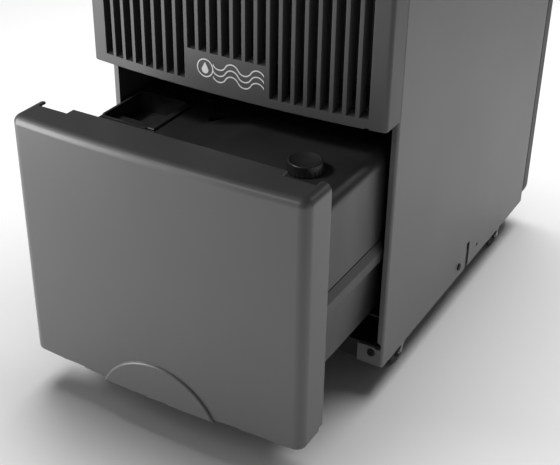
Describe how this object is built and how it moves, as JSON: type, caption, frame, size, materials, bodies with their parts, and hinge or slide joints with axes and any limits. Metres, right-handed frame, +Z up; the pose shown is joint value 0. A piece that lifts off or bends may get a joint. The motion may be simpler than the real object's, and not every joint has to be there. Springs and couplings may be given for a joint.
{
  "type": "dehumidifier",
  "caption": "Cabinet dehumidifier on swivel castors with a slatted intake and a water tank that pulls out like a drawer, with an open pocket, drip hole and screw cap.",
  "frame": {"origin": "on the floor, at the middle of the footprint with the tank pulled out as at rest", "axes": "+X to the machine's right as seen from the front, +Y towards the back, +Z up; the tank slides out along -Y"},
  "size_m": [0.3744, 0.7042, 0.6456],
  "materials": {
    "base": "fine grained black moulding",
    "cabinet_paint": "mid grey powder coat, satin",
    "inner_paint": "black coat inside the cabinet",
    "rear_plastic": "dark grey grained moulding",
    "fascia_plastic": "charcoal satin moulding",
    "tank_front_plastic": "grey satin moulding with a fine grain",
    "tank_plastic": "near black moulding",
    "cap_plastic": "near black moulding, smooth",
    "emblem_print": "pale raised print",
    "plain_steel": "galvanised sheet",
    "zinc_steel": "bright zinc plate",
    "fin_aluminium": "thin fins",
    "compressor_paint": "black stove enamel",
    "copper": "drawn copper tube",
    "rubber": "soft mount",
    "wheel_rubber": "black wheel",
    "filter_net": "fine woven net",
    "board": "circuit board",
    "gloss_black": "smooth black overlay",
    "display_glass": "tinted window",
    "button_plastic": "grey keys",
    "inlet_plastic": "black moulding",
    "float_foam": "white closed-cell foam",
    "screw_black": "black oxide screws"
  },
  "bodies": {
    "cabinet": {"base_pan": "base", "right_side_panel": "cabinet_paint", "left_side_panel": "cabinet_paint", "rear_cover": "rear_plastic", "top_cover": "fascia_plastic", "front_grille": "fascia_plastic", "emblem": "emblem_print", "right_tank_rail": "inner_paint", "left_tank_rail": "inner_paint", "mid_shelf": "inner_paint", "bay_wall": "inner_paint", "drip_tray": "tank_plastic", "air_filter_frame": "tank_plastic", "filter_mesh": "filter_net", "evaporator": "fin_aluminium", "condenser": "fin_aluminium", "fan_shroud": "rear_plastic", "fan_motor": "plain_steel", "compressor": "compressor_paint", "compressor_mounts": "rubber", "accumulator": "copper", "suction_pipe": "copper", "discharge_pipe": "copper", "filter_drier": "copper", "control_box": "rear_plastic", "control_board": "board", "control_panel": "gloss_black", "display_window": "display_glass", "float_switch": "tank_plastic", "mains_inlet": "inlet_plastic", "drain_spout": "inlet_plastic", "castor_plates": "zinc_steel", "case_screws": "screw_black"},
    "tank": {"tank_body": "tank_plastic", "tank_front": "tank_front_plastic", "tank_lid": "tank_plastic"},
    "cap": {"tank_cap": "cap_plastic"},
    "float": {"tank_float": "float_foam"},
    "fan": {"fan_wheel": "rear_plastic"},
    "button_1": {"button_1": "button_plastic"},
    "button_2": {"button_2": "button_plastic"},
    "button_3": {"button_3": "button_plastic"},
    "button_4": {"button_4": "button_plastic"},
    "swivel_front_left": {"castor_fork_front_left": "zinc_steel", "castor_axle_front_left": "zinc_steel"},
    "wheel_front_left": {"castor_wheel_front_left": "wheel_rubber"},
    "swivel_rear_left": {"castor_fork_rear_left": "zinc_steel", "castor_axle_rear_left": "zinc_steel"},
    "wheel_rear_left": {"castor_wheel_rear_left": "wheel_rubber"},
    "swivel_front_right": {"castor_fork_front_right": "zinc_steel", "castor_axle_front_right": "zinc_steel"},
    "wheel_front_right": {"castor_wheel_front_right": "wheel_rubber"},
    "swivel_rear_right": {"castor_fork_rear_right": "zinc_steel", "castor_axle_rear_right": "zinc_steel"},
    "wheel_rear_right": {"castor_wheel_rear_right": "wheel_rubber"}
  },
  "joints": [
    {"name": "tank_slide", "type": "slide", "parent": "cabinet", "child": "tank", "axis": [0, -1, 0], "range_m": [-0.1366, 0.13]},
    {"name": "cap_turn", "type": "hinge", "parent": "tank", "child": "cap", "pos_m": [0.1195, -0.2409, 0.324], "axis": [0, 0, 1], "range_deg": [0, 90]},
    {"name": "float_rise", "type": "slide", "parent": "tank", "child": "float", "axis": [0, 0, 1], "range_m": [0, 0.14]},
    {"name": "fan_spin", "type": "hinge", "parent": "cabinet", "child": "fan", "pos_m": [0, -0.0179, 0.49], "axis": [0, 1, 0], "continuous": true},
    {"name": "button_1_press", "type": "slide", "parent": "cabinet", "child": "button_1", "axis": [0, 0, -1], "range_m": [0, 0.0012], "stiffness_N_per_m": 300, "springref_m": -0.0012},
    {"name": "button_2_press", "type": "slide", "parent": "cabinet", "child": "button_2", "axis": [0, 0, -1], "range_m": [0, 0.0012], "stiffness_N_per_m": 300, "springref_m": -0.0012},
    {"name": "button_3_press", "type": "slide", "parent": "cabinet", "child": "button_3", "axis": [0, 0, -1], "range_m": [0, 0.0012], "stiffness_N_per_m": 300, "springref_m": -0.0012},
    {"name": "button_4_press", "type": "slide", "parent": "cabinet", "child": "button_4", "axis": [0, 0, -1], "range_m": [0, 0.0012], "stiffness_N_per_m": 300, "springref_m": -0.0012},
    {"name": "swivel_front_left_turn", "type": "hinge", "parent": "cabinet", "child": "swivel_front_left", "pos_m": [-0.161, -0.0709, 0.04], "axis": [0, 0, 1], "continuous": true},
    {"name": "wheel_front_left_roll", "type": "hinge", "parent": "swivel_front_left", "child": "wheel_front_left", "pos_m": [-0.161, -0.0849, 0.02], "axis": [1, 0, 0], "continuous": true},
    {"name": "swivel_rear_left_turn", "type": "hinge", "parent": "cabinet", "child": "swivel_rear_left", "pos_m": [-0.161, 0.2531, 0.04], "axis": [0, 0, 1], "continuous": true},
    {"name": "wheel_rear_left_roll", "type": "hinge", "parent": "swivel_rear_left", "child": "wheel_rear_left", "pos_m": [-0.161, 0.2391, 0.02], "axis": [1, 0, 0], "continuous": true},
    {"name": "swivel_front_right_turn", "type": "hinge", "parent": "cabinet", "child": "swivel_front_right", "pos_m": [0.161, -0.0709, 0.04], "axis": [0, 0, 1], "continuous": true},
    {"name": "wheel_front_right_roll", "type": "hinge", "parent": "swivel_front_right", "child": "wheel_front_right", "pos_m": [0.161, -0.0849, 0.02], "axis": [1, 0, 0], "continuous": true},
    {"name": "swivel_rear_right_turn", "type": "hinge", "parent": "cabinet", "child": "swivel_rear_right", "pos_m": [0.161, 0.2531, 0.04], "axis": [0, 0, 1], "continuous": true},
    {"name": "wheel_rear_right_roll", "type": "hinge", "parent": "swivel_rear_right", "child": "wheel_rear_right", "pos_m": [0.161, 0.2391, 0.02], "axis": [1, 0, 0], "continuous": true}
  ]
}
